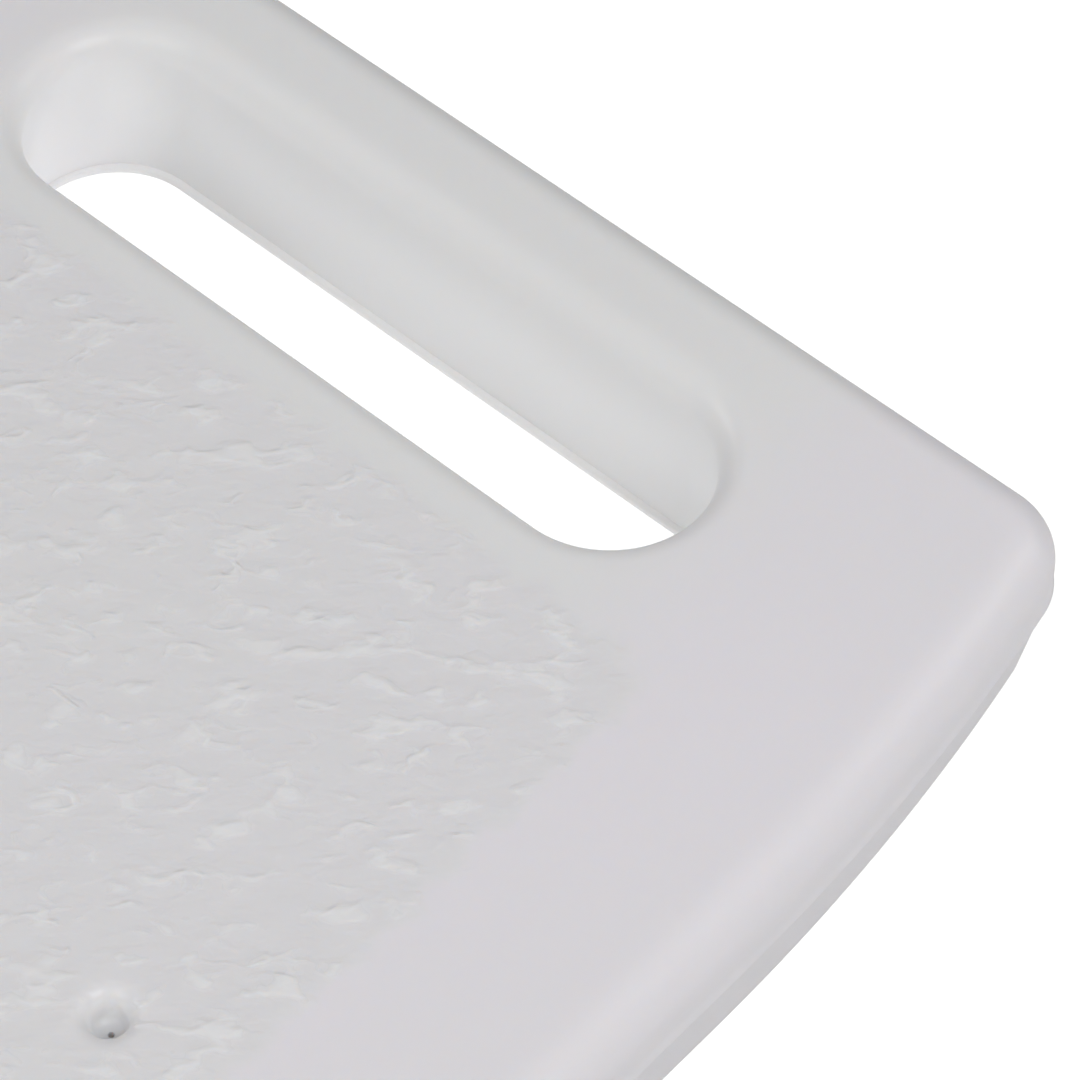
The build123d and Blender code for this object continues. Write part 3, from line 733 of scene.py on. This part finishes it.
class Effects:
    """The effects that several finishes share, each a node group that is built once."""

    def __init__(self) -> None:
        """Builds the groups."""
        self.grain = self._grain()
        self.handling = self._handling()
        self.drawn = self._drawn()
        self.leg_lines = self._leg_lines()

    def _grain(self) -> Tree:
        """A fine even grain, as moulded or blasted surfaces have."""
        wanted = {"Vector": None, "Scale": 2500.0}
        graph, inputs, outputs = new_group("fine_grain", wanted, ("Height",))
        fine = graph.noise(inputs["Vector"], 1.0, 3.0, 0.6)
        graph.link(inputs["Scale"], fine.inputs["Scale"])
        graph.link(graph.span(fine.outputs[0], (0.3, 0.7)), outputs["Height"])
        return graph.tree

    def _handling(self) -> Tree:
        """Cloudy marks and thin scuffs, as hands and floors leave them."""
        wanted = {"Vector": None, "Scale": 1.0}
        graph, inputs, outputs = new_group("handling_marks", wanted, ("Smudge", "Scuff"))
        scaled = graph.vector("SCALE", inputs["Vector"])
        graph.link(inputs["Scale"], scaled.inputs["Scale"])
        place = scaled.outputs[0]
        cloud = graph.noise(place, 28.0, 4.0, 0.6).outputs[0]
        graph.link(graph.span(cloud, (0.42, 0.72)), outputs["Smudge"])
        warp = graph.vector("SCALE", graph.noise(place, 45.0, 2.0).outputs["Color"])
        warp.inputs["Scale"].default_value = 0.02
        bent = graph.vector("ADD", place, warp.outputs[0]).outputs[0]
        edges = graph.add(
            "ShaderNodeTexVoronoi", {"Vector": bent, "Scale": 60.0}, feature="DISTANCE_TO_EDGE"
        ).outputs["Distance"]
        line = graph.span(edges, (0.0, 0.02), (1.0, 0.0))
        gate = graph.span(graph.cloud(place, 38.0, 2.0), (0.58, 0.68))
        graph.link(graph.math("MULTIPLY", line, gate), outputs["Scuff"])
        return graph.tree

    def _drawn(self) -> Tree:
        """Fine parallel lines along the third coordinate, as drawn or brushed metal has."""
        wanted = {"Vector": None, "Scale": 2200.0, "Stretch": 0.02}
        graph, inputs, outputs = new_group("drawn_lines", wanted, ("Height", "Streak"))
        squeeze = graph.combine(1.0, 1.0, inputs["Stretch"])
        place = graph.vector("MULTIPLY", inputs["Vector"], squeeze).outputs[0]
        fine = graph.noise(place, 1.0, 2.0, 0.6)
        graph.link(inputs["Scale"], fine.inputs["Scale"])
        graph.link(fine.outputs[0], outputs["Height"])
        streak = graph.cloud(place, 420.0, 3.0)
        graph.link(graph.span(streak, (0.3, 0.7)), outputs["Streak"])
        return graph.tree

    def _leg_lines(self) -> Tree:
        """Turns a place on a leg or a top bar: the third coordinate then runs along the tube."""
        graph, inputs, _ = new_group("leg_lines", {"Vector": None}, ())
        graph.tree.interface.new_socket("Vector", in_out="OUTPUT", socket_type="NodeSocketVector")
        target = find_node(graph.tree, "NodeGroupOutput").inputs["Vector"]
        folded = graph.vector("ABSOLUTE", inputs["Vector"]).outputs[0]
        down = Vector((0.238943, 0.156434, -0.95835))
        outward = Vector((0.971033, -0.038494, 0.235822))
        sides = [graph.dot(folded, v) for v in (outward, down.cross(outward), down)]
        leg = graph.combine(*sides)
        parts = graph.add("ShaderNodeSeparateXYZ", {"Vector": inputs["Vector"]}).outputs
        bar = graph.combine(parts[0], parts[2], parts[1])
        share = graph.span(parts[2], (0.300, 0.338))
        mixed = graph.add("ShaderNodeMix", {"Factor": share, 4: leg, 5: bar}, data_type="VECTOR")
        graph.link(mixed.outputs[1], target)
        return graph.tree


# ---------------- finishes


@dataclass(frozen=True)
class Finish:
    """What every finish has."""

    name: str
    colour: Colour
    roughness: float

    def material(self, effects: Effects) -> bpy.types.Material:
        """Makes the finish's material.

        Args:
            effects: The shared effects.

        Returns:
            The new material.
        """
        material = bpy.data.materials.new(self.name)
        material.use_nodes = True
        graph = Graph(material.node_tree)
        shader = find_node(material.node_tree, "ShaderNodeBsdfPrincipled")
        shader.inputs["Base Color"].default_value = rgba(self.colour)
        shader.inputs["Roughness"].default_value = self.roughness
        self.dress(graph, shader, effects)
        material.diffuse_color = rgba(self.colour)
        return material

    def dress(self, graph: Graph, shader: Node, effects: Effects) -> None:
        """Adds the finish's own detail."""

    def relief(self, graph: Graph, shader: Node, height: object, depth: float) -> None:
        """Presses a height pattern into the surface.

        Args:
            graph: The material's graph.
            shader: The material's shader.
            height: The pattern, from 0 to 1.
            depth: How deep it goes, in metres.
        """
        bump = graph.add("ShaderNodeBump", {"Height": height, "Distance": depth, "Strength": 1.0})
        graph.link(bump.outputs[0], shader.inputs["Normal"])


@dataclass(frozen=True)
class SeatPlastic(Finish):
    """Satin blow-moulded plastic with a panel of embossed wrinkles on top."""

    panel_half_length: float = 183.5 * MM
    panel_half_depth: float = 90.0 * MM
    panel_corner: float = 11.0 * MM
    vein_depth: float = 0.18 * MM
    grain_depth: float = 0.004 * MM
    seat_top: float = 0.400
    panel_colour: Colour = (0.842, 0.832, 0.850)
    # Lighter lilac colour towards the long edges, outside the panel: a painted sheen, the lights'
    # reflection in the smooth margin.
    painted_sheen_colour: Colour = (0.885, 0.858, 0.902)
    aged_colour: Colour = (0.850, 0.848, 0.840)
    # Lighter colour blended onto the wrinkles' crests by this share: a painted highlight standing
    # in for glints.
    painted_glint_colour: Colour = (0.960, 0.960, 0.970)
    painted_glint_share: float = 0.5
    crest_polish: float = -0.10
    aged_share: float = 0.3
    border_fade: tuple[float, float] = (60.0 * MM, 92.0 * MM)
    grain_scale: float = 1800.0
    edge_waver: float = 10.0 * MM
    wrinkle_run: Colour = (0.67, -0.74, 0.0)
    wrinkle_cross: Colour = (0.74, 0.67, 0.0)
    wrinkle_stretch: float = 0.62
    wrinkle_waver: float = 5.0 * MM
    long_scale: float = 150.0
    short_scale: float = 260.0
    short_share: float = 0.6
    fold_share: float = 0.6
    translucence: float = 0.8
    glow_depth: float = 3.0 * MM

    def dress(self, graph: Graph, shader: Node, effects: Effects) -> None:
        """Adds the wrinkled panel, a fine grain, faint variations of tone, a painted highlight on
        the wrinkles' crests and a painted sheen towards the long edges.
        """
        place = graph.place()
        panel = self._panel(graph, place)
        veins = graph.math("MULTIPLY", self._veins(graph, place), panel)
        grain = graph.effect(effects.grain, place, self.grain_scale)["Height"]
        marks = graph.effect(effects.handling, place, 1.0)
        height = graph.math("MULTIPLY_ADD", grain, self.grain_depth / self.vein_depth, veins)
        self.relief(graph, shader, height, self.vein_depth)
        rough = graph.math("MULTIPLY_ADD", marks["Smudge"], 0.05, self.roughness)
        rough = graph.math("MULTIPLY_ADD", veins, self.crest_polish, rough)
        graph.link(rough, shader.inputs["Roughness"])
        tone = graph.cloud(place, 9.0, 3.0)
        depth = graph.dot(graph.vector("ABSOLUTE", place).outputs[0], Y_AXIS)
        outside = graph.math("SUBTRACT", 1.0, panel)
        # Towards the long edges, outside the panel, the colour turns lighter and lilac: a painted
        # sheen, the lights' reflection in the smooth margin.
        border = graph.math("MULTIPLY", graph.span(depth, self.border_fade), outside)
        colour = graph.blend(border, self.colour, self.painted_sheen_colour)
        colour = graph.blend(panel, colour, self.panel_colour)
        # The wrinkles' crests are painted lighter: a painted highlight standing in for glints.
        painted_glints = graph.math("MULTIPLY", graph.span(veins, (0.5, 1.3)), self.painted_glint_share)
        colour = graph.blend(painted_glints, colour, self.painted_glint_colour)
        shade = graph.math("MULTIPLY", graph.span(tone, (0.35, 0.65)), self.aged_share)
        graph.link(graph.blend(shade, colour, self.aged_colour), shader.inputs["Base Color"])
        shader.inputs["Specular IOR Level"].default_value = 0.45
        shader.inputs["Subsurface Weight"].default_value = self.translucence
        shader.inputs["Subsurface Radius"].default_value = (1.0, 0.9, 0.8)
        shader.inputs["Subsurface Scale"].default_value = self.glow_depth

    def _panel(self, graph: Graph, place: Socket) -> Socket:
        """Masks the panel: a rectangle with round corners whose edge fades unevenly.

        Args:
            graph: The material's graph.
            place: The point's place.

        Returns:
            A mask, 1 on the panel.
        """
        waver = graph.wander(place, 130.0, 3.0)
        shift = graph.vector("MULTIPLY", waver, (self.edge_waver, self.edge_waver, 0.0)).outputs[0]
        folded = graph.vector("ABSOLUTE", graph.vector("ADD", place, shift).outputs[0]).outputs[0]
        corner = self.panel_corner
        inner = (self.panel_half_length - corner, self.panel_half_depth - corner, 1.0)
        past = graph.vector("SUBTRACT", folded, inner).outputs[0]
        beyond = graph.vector("MAXIMUM", past, (0.0, 0.0, 0.0))
        reach = graph.vector("LENGTH", beyond.outputs[0]).outputs["Value"]
        flat = graph.span(reach, (corner - 4.0 * MM, corner + 1.5 * MM), (1.0, 0.0))
        height = graph.add("ShaderNodeSeparateXYZ", {"Vector": place}).outputs[2]
        level = graph.span(height, (self.seat_top - 2.0 * MM, self.seat_top - 0.3 * MM))
        return graph.math("MULTIPLY", flat, level)

    def _veins(self, graph: Graph, place: Socket) -> Socket:
        """Draws the wrinkles: a broken net of thin raised veins over soft folds.

        Args:
            graph: The material's graph.
            place: The point's place.

        Returns:
            The wrinkles' height, from 0 to about 1.
        """
        along = graph.math("MULTIPLY", graph.dot(place, self.wrinkle_run), self.wrinkle_stretch)
        stretched = graph.combine(along, graph.dot(place, self.wrinkle_cross), 0.0)
        wander = graph.wander(stretched, 150.0, 2.0)
        reach = (self.wrinkle_waver, self.wrinkle_waver, 0.0)
        bent = graph.vector("MULTIPLY_ADD", wander, reach, stretched).outputs[0]
        apart = graph.vector("ADD", bent, (0.37, 0.11, 0.0)).outputs[0]
        long_veins = self._ridge(graph, bent, self.long_scale, 0.09)
        short_veins = self._ridge(graph, apart, self.short_scale, 0.12)
        gate = graph.span(graph.cloud(stretched, 190.0, 2.0), (0.46, 0.62))
        folds = graph.span(graph.cloud(bent, 240.0, 2.0), (0.35, 0.65))
        veins = graph.math("MULTIPLY", long_veins, gate)
        short_veins = graph.math("MULTIPLY", short_veins, gate)
        veins = graph.math("MULTIPLY_ADD", short_veins, self.short_share, veins)
        return graph.math("MULTIPLY_ADD", folds, self.fold_share, veins)

    def _ridge(self, graph: Graph, place: object, scale: float, width: float) -> Socket:
        """Draws thin winding ridges where a noise passes through its middle value.

        Args:
            graph: The material's graph.
            place: The pattern's coordinates.
            scale: How close together the ridges lie.
            width: How wide they are, as a share of the noise's range.

        Returns:
            The ridges' height, from 0 to 1.
        """
        value = graph.noise(place, scale, 1.0, 0.4).outputs[0]
        away = graph.math("ABSOLUTE", graph.math("SUBTRACT", value, 0.5))
        return graph.span(away, (0.0, width), (1.0, 0.0))


@dataclass(frozen=True)
class DrawnAluminium(Finish):
    """Anodised aluminium tube with fine lines along it."""

    line_depth: float = 0.003 * MM
    rubbed: float = 0.04

    def dress(self, graph: Graph, shader: Node, effects: Effects) -> None:
        """Adds drawn lines, streaks of tone and rubbed places."""
        shader.inputs["Metallic"].default_value = 1.0
        place = graph.place()
        along = graph.effect(effects.leg_lines, place)["Vector"]
        lines = graph.effect(effects.drawn, along, 2600.0, 0.015)
        marks = graph.effect(effects.handling, place, 1.3)
        self.relief(graph, shader, lines["Height"], self.line_depth)
        rough = graph.math("MULTIPLY_ADD", lines["Streak"], 0.07, self.roughness)
        rough = graph.math("MULTIPLY_ADD", marks["Smudge"], self.rubbed, rough)
        rough = graph.math("MULTIPLY_ADD", marks["Scuff"], 0.12, rough)
        graph.link(rough, shader.inputs["Roughness"])
        dull = tuple(c * 0.90 for c in self.colour)
        colour = graph.blend(lines["Streak"], self.colour, dull)
        graph.link(colour, shader.inputs["Base Color"])


@dataclass(frozen=True)
class BrushedBar(Finish):
    """Flat aluminium bar, brushed along its length, for the two crossing braces."""

    turn: float = 41.4

    def dress(self, graph: Graph, shader: Node, effects: Effects) -> None:
        """Adds brushing along both bars at once, by folding the plan into one quarter."""
        shader.inputs["Metallic"].default_value = 1.0
        place = graph.place()
        folded = graph.vector("ABSOLUTE", place).outputs[0]
        angle = math.radians(self.turn)
        along = graph.dot(folded, (math.cos(angle), math.sin(angle), 0.0))
        across = graph.dot(folded, (-math.sin(angle), math.cos(angle), 0.0))
        turned = graph.combine(across, graph.dot(folded, UP), along)
        lines = graph.effect(effects.drawn, turned, 3200.0, 0.02)
        marks = graph.effect(effects.handling, place, 1.6)
        self.relief(graph, shader, lines["Height"], 0.006 * MM)
        rough = graph.math("MULTIPLY_ADD", lines["Streak"], 0.10, self.roughness)
        rough = graph.math("MULTIPLY_ADD", marks["Scuff"], 0.15, rough)
        graph.link(rough, shader.inputs["Roughness"])
        dull = tuple(c * 0.86 for c in self.colour)
        colour = graph.blend(lines["Streak"], self.colour, dull)
        graph.link(colour, shader.inputs["Base Color"])


@dataclass(frozen=True)
class SparkPlastic(Finish):
    """Injection-moulded plastic with a fine spark-eroded texture."""

    texture_depth: float = 0.02 * MM
    texture_scale: float = 1900.0

    def dress(self, graph: Graph, shader: Node, effects: Effects) -> None:
        """Adds the texture, scuffs that go pale, and faint clouds of tone."""
        place = graph.place()
        grain = graph.effect(effects.grain, place, self.texture_scale)["Height"]
        marks = graph.effect(effects.handling, place, 2.0)
        self.relief(graph, shader, grain, self.texture_depth)
        pale = tuple(min(1.0, c * 1.25 + 0.02) for c in self.colour)
        dark = tuple(c * 0.88 for c in self.colour)
        colour = graph.blend(marks["Smudge"], self.colour, dark)
        colour = graph.blend(graph.math("MULTIPLY", marks["Scuff"], 0.5), colour, pale)
        graph.link(colour, shader.inputs["Base Color"])
        rough = graph.math("MULTIPLY_ADD", marks["Smudge"], 0.10, self.roughness)
        graph.link(rough, shader.inputs["Roughness"])


@dataclass(frozen=True)
class TurnedMetal(Finish):
    """Small metal parts: steel fasteners, springs and brass inserts."""

    def dress(self, graph: Graph, shader: Node, effects: Effects) -> None:
        """Adds a fine grain, clouds of tone and scuffs."""
        shader.inputs["Metallic"].default_value = 1.0
        place = graph.place()
        grain = graph.effect(effects.grain, place, 5200.0)["Height"]
        marks = graph.effect(effects.handling, place, 4.0)
        self.relief(graph, shader, grain, 0.004 * MM)
        rough = graph.math("MULTIPLY_ADD", marks["Smudge"], 0.12, self.roughness)
        rough = graph.math("MULTIPLY_ADD", marks["Scuff"], 0.15, rough)
        graph.link(rough, shader.inputs["Roughness"])
        dull = tuple(c * 0.82 for c in self.colour)
        colour = graph.blend(marks["Smudge"], self.colour, dull)
        graph.link(colour, shader.inputs["Base Color"])


@dataclass(frozen=True)
class FootRubber(Finish):
    """Grey rubber with a bloom, and dust that gathers low on the foot."""

    def dress(self, graph: Graph, shader: Node, effects: Effects) -> None:
        """Adds a moulded grain, the bloom and the dust."""
        place = graph.place()
        grain = graph.effect(effects.grain, place, 1300.0)["Height"]
        marks = graph.effect(effects.handling, place, 2.2)
        self.relief(graph, shader, grain, 0.03 * MM)
        height = graph.add("ShaderNodeSeparateXYZ", {"Vector": place}).outputs[2]
        low = graph.span(height, (0.001, 0.014), (1.0, 0.0))
        patches = graph.span(graph.cloud(place, 260.0, 4.0), (0.4, 0.7))
        dust = graph.math("MULTIPLY", low, patches)
        bloom = tuple(c * 1.18 + 0.01 for c in self.colour)
        colour = graph.blend(marks["Smudge"], self.colour, bloom)
        colour = graph.blend(graph.math("MULTIPLY", dust, 0.35), colour, (0.45, 0.43, 0.40))
        graph.link(colour, shader.inputs["Base Color"])
        rough = graph.math("MULTIPLY_ADD", dust, 0.15, self.roughness)
        graph.link(rough, shader.inputs["Roughness"])


class Finishes(Enum):
    """The finish of each material slot of the record."""

    SEAT = SeatPlastic("seat_plastic", (0.865, 0.865, 0.868), 0.34)
    FRAME_TUBE = DrawnAluminium("frame_tube", (0.66, 0.67, 0.69), 0.30)
    EXTENSION_TUBE = DrawnAluminium("extension_tube", (0.72, 0.73, 0.75), 0.24, 0.002 * MM, 0.06)
    BRACE_BAR = BrushedBar("brace_bar", (0.64, 0.65, 0.66), 0.32)
    GREY_PLASTIC = SparkPlastic("grey_plastic", (0.15, 0.16, 0.17), 0.50)
    FASTENER = TurnedMetal("fastener_steel", (0.58, 0.58, 0.60), 0.26)
    SPRING = TurnedMetal("spring_steel", (0.30, 0.31, 0.33), 0.32)
    BRASS = TurnedMetal("brass_insert", (0.72, 0.53, 0.24), 0.28)
    RUBBER = FootRubber("foot_rubber", (0.095, 0.10, 0.11), 0.62)


def dress_nodes(materials: dict[str, bpy.types.Material]) -> None:
    """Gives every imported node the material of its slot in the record.

    Args:
        materials: The materials by slot name.
    """
    for subpart in frame["record"]["subparts"]:
        node = frame["nodes"][subpart["node"]]
        material = materials[subpart["material_slot"]]
        node.data.materials.clear()
        node.data.materials.append(material)
        LOG.info("%s: %s", subpart["node"], material.name)


# ---------------- studio


SEAT_CORNER = (0.19, -0.06, 0.39)


@dataclass(frozen=True)
class SoftLight:
    """A soft box of the studio."""

    name: str
    place: Colour
    aim: Colour
    size: float
    power: float

    def build(self) -> None:
        """Hangs the light and turns it to its aim."""
        data = bpy.data.lights.new(self.name, "AREA")
        data.shape = "DISK"
        data.size = self.size
        data.energy = self.power
        light = bpy.data.objects.new(self.name, data)
        light.visible_camera = False
        bpy.context.scene.collection.objects.link(light)
        light.location = self.place
        ahead = Vector(self.aim) - Vector(self.place)
        light.rotation_euler = ahead.to_track_quat("-Z", "Y").to_euler()


@dataclass(frozen=True)
class Viewpoint:
    """The camera: where it stands and how it is turned."""

    place: Colour = (-0.1497, -0.37176, 1.00282)
    heading: float = -47.26
    elevation: float = 52.51
    roll: float = -0.93
    lens: float = 162.71

    def build(self) -> None:
        """Puts up the camera."""
        data = bpy.data.cameras.new("camera")
        data.sensor_width = 36.0
        data.lens = self.lens
        camera = bpy.data.objects.new("camera", data)
        bpy.context.scene.collection.objects.link(camera)
        turn = Matrix.Rotation(math.radians(self.heading), 4, "Z")
        turn = turn @ Matrix.Rotation(math.radians(90.0 - self.elevation), 4, "X")
        turn = turn @ Matrix.Rotation(math.radians(self.roll), 4, "Z")
        camera.matrix_world = Matrix.Translation(self.place) @ turn
        bpy.context.scene.camera = camera


@dataclass(frozen=True)
class Studio:
    """A plain pale floor, soft lights and an even surround."""

    floor_half_side: float = 4.0
    floor_glow: float = 0.06
    floor_shine: float = 0.60
    surround: float = 0.25
    lights: tuple[SoftLight, ...] = (
        SoftLight("left_light", (-1.06, -0.16, 1.49), SEAT_CORNER, 1.1, 6.3),
        SoftLight("front_light", (0.0, -1.12, 1.66), SEAT_CORNER, 0.9, 9.0),
        SoftLight("right_light", (1.44, -0.78, 1.29), SEAT_CORNER, 1.0, 4.0),
        SoftLight("back_light", (-0.30, 1.28, 1.35), SEAT_CORNER, 0.7, 3.7),
        SoftLight("slot_light", (0.21, 0.0, 0.30), (0.21, 0.0, 0.40), 0.16, 0.042),
    )

    def build(self) -> None:
        """Lays the floor, hangs the lights and lights the surround."""
        self._floor()
        for light in self.lights:
            light.build()
        world = bpy.data.worlds.new("surround")
        world.use_nodes = True
        shade = find_node(world.node_tree, "ShaderNodeBackground")
        shade.inputs["Color"].default_value = (1.0, 1.0, 1.0, 1.0)
        shade.inputs["Strength"].default_value = self.surround
        bpy.context.scene.world = world
        bpy.context.scene.view_settings.view_transform = "Standard"

    def _floor(self) -> None:
        """Lays the floor, which glows a little so that it stays pale under the stool."""
        mesh = bmesh.new()
        half = self.floor_half_side
        bmesh.ops.create_grid(mesh, x_segments=1, y_segments=1, size=half)
        data = bpy.data.meshes.new("floor")
        mesh.to_mesh(data)
        mesh.free()
        floor = bpy.data.objects.new("floor", data)
        bpy.context.scene.collection.objects.link(floor)
        material = bpy.data.materials.new("floor_white")
        material.use_nodes = True
        shader = find_node(material.node_tree, "ShaderNodeBsdfPrincipled")
        shader.inputs["Base Color"].default_value = (0.92, 0.92, 0.92, 1.0)
        shader.inputs["Roughness"].default_value = 0.9
        shader.inputs["Emission Color"].default_value = (1.0, 1.0, 1.0, 1.0)
        graph = Graph(material.node_tree)
        direct = graph.add("ShaderNodeLightPath", {}).outputs["Is Camera Ray"]
        extra = self.floor_shine - self.floor_glow
        glow = graph.math("MULTIPLY_ADD", direct, extra, self.floor_glow)
        graph.link(glow, shader.inputs["Emission Strength"])
        data.materials.append(material)


def main() -> None:
    """Builds the seat, dresses every part, and sets up the studio."""
    logging.basicConfig(level=logging.INFO, format="%(name)s: %(message)s")
    effects = Effects()
    materials = {finish.value.name: finish.value.material(effects) for finish in Finishes}
    seat = SeatShell().build()
    seat.data.materials.append(materials["seat_plastic"])
    dress_nodes(materials)
    Studio().build()
    Viewpoint().build()


if __name__ == "__main__":
    main()
